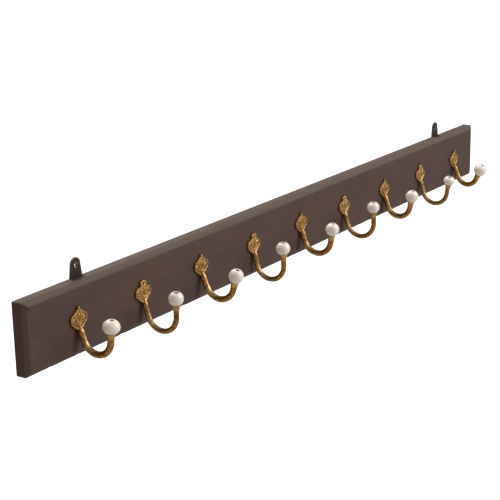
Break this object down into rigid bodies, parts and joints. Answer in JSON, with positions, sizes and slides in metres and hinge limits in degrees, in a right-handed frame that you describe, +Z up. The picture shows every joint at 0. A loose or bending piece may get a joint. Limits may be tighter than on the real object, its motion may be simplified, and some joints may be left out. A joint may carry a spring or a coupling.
{
  "type": "wall coat hook rail",
  "caption": "Wall-hung coat rail: a bevelled dark hardwood board with a row of bent brass hooks on leaf-shaped plates, each ending in a porcelain ball, and iron hanging lugs.",
  "frame": {"origin": "middle of the board's flat back face, which rests on the wall", "axes": "+X along the board, +Y into the wall, +Z up; the hooks face -Y"},
  "size_m": [1.321, 0.096, 0.1379],
  "materials": {
    "stained_hardwood": "dark stained, satin",
    "cast_brass": "cast, aged",
    "bent_brass": "tarnished",
    "porcelain": "glazed",
    "pin_brass": "tarnished",
    "screw_brass": "worn",
    "lug_iron": "brown, worn at the hole",
    "screw_steel": "dull"
  },
  "bodies": {
    "rail": {"board": "stained_hardwood", "hook_plate_1": "cast_brass", "hook_arm_1": "bent_brass", "ball_pin_1": "pin_brass", "plate_screws_1": "screw_brass", "hook_plate_2": "cast_brass", "hook_arm_2": "bent_brass", "ball_pin_2": "pin_brass", "plate_screws_2": "screw_brass", "hook_plate_3": "cast_brass", "hook_arm_3": "bent_brass", "ball_pin_3": "pin_brass", "plate_screws_3": "screw_brass", "hook_plate_4": "cast_brass", "hook_arm_4": "bent_brass", "ball_pin_4": "pin_brass", "plate_screws_4": "screw_brass", "hook_plate_5": "cast_brass", "hook_arm_5": "bent_brass", "ball_pin_5": "pin_brass", "plate_screws_5": "screw_brass", "hook_plate_6": "cast_brass", "hook_arm_6": "bent_brass", "ball_pin_6": "pin_brass", "plate_screws_6": "screw_brass", "hook_plate_7": "cast_brass", "hook_arm_7": "bent_brass", "ball_pin_7": "pin_brass", "plate_screws_7": "screw_brass", "hook_plate_8": "cast_brass", "hook_arm_8": "bent_brass", "ball_pin_8": "pin_brass", "plate_screws_8": "screw_brass", "hook_plate_9": "cast_brass", "hook_arm_9": "bent_brass", "ball_pin_9": "pin_brass", "plate_screws_9": "screw_brass", "hanging_lug_left": "lug_iron", "lug_screws_left": "screw_steel", "hanging_lug_right": "lug_iron", "lug_screws_right": "screw_steel"},
    "ball_1": {"porcelain_ball_1": "porcelain"},
    "ball_2": {"porcelain_ball_2": "porcelain"},
    "ball_3": {"porcelain_ball_3": "porcelain"},
    "ball_4": {"porcelain_ball_4": "porcelain"},
    "ball_5": {"porcelain_ball_5": "porcelain"},
    "ball_6": {"porcelain_ball_6": "porcelain"},
    "ball_7": {"porcelain_ball_7": "porcelain"},
    "ball_8": {"porcelain_ball_8": "porcelain"},
    "ball_9": {"porcelain_ball_9": "porcelain"}
  },
  "joints": [
    {"name": "ball_1_turn", "type": "hinge", "parent": "rail", "child": "ball_1", "pos_m": [-0.56, -0.07745, 0.00017], "axis": [0, -0.1045, 0.9945], "continuous": true},
    {"name": "ball_2_turn", "type": "hinge", "parent": "rail", "child": "ball_2", "pos_m": [-0.423, -0.07953, 0.00005], "axis": [0, -0.0175, 0.9998], "continuous": true},
    {"name": "ball_3_turn", "type": "hinge", "parent": "rail", "child": "ball_3", "pos_m": [-0.284, -0.08476, -0.00435], "axis": [0, -0.2588, 0.9659], "continuous": true},
    {"name": "ball_4_turn", "type": "hinge", "parent": "rail", "child": "ball_4", "pos_m": [-0.144, -0.07665, 0.00137], "axis": [0, 0.0349, 0.9994], "continuous": true},
    {"name": "ball_5_turn", "type": "hinge", "parent": "rail", "child": "ball_5", "pos_m": [-0.003, -0.08149, -0.00151], "axis": [0, -0.1392, 0.9903], "continuous": true},
    {"name": "ball_6_turn", "type": "hinge", "parent": "rail", "child": "ball_6", "pos_m": [0.138, -0.0794, 0.00361], "axis": [0, 0.0349, 0.9994], "continuous": true},
    {"name": "ball_7_turn", "type": "hinge", "parent": "rail", "child": "ball_7", "pos_m": [0.283, -0.07855, -0.00879], "axis": [0, -0.1908, 0.9816], "continuous": true},
    {"name": "ball_8_turn", "type": "hinge", "parent": "rail", "child": "ball_8", "pos_m": [0.425, -0.08296, -0.00875], "axis": [0, -0.1736, 0.9848], "continuous": true},
    {"name": "ball_9_turn", "type": "hinge", "parent": "rail", "child": "ball_9", "pos_m": [0.571, -0.07978, -0.01812], "axis": [0, -0.4147, 0.91], "continuous": true}
  ]
}
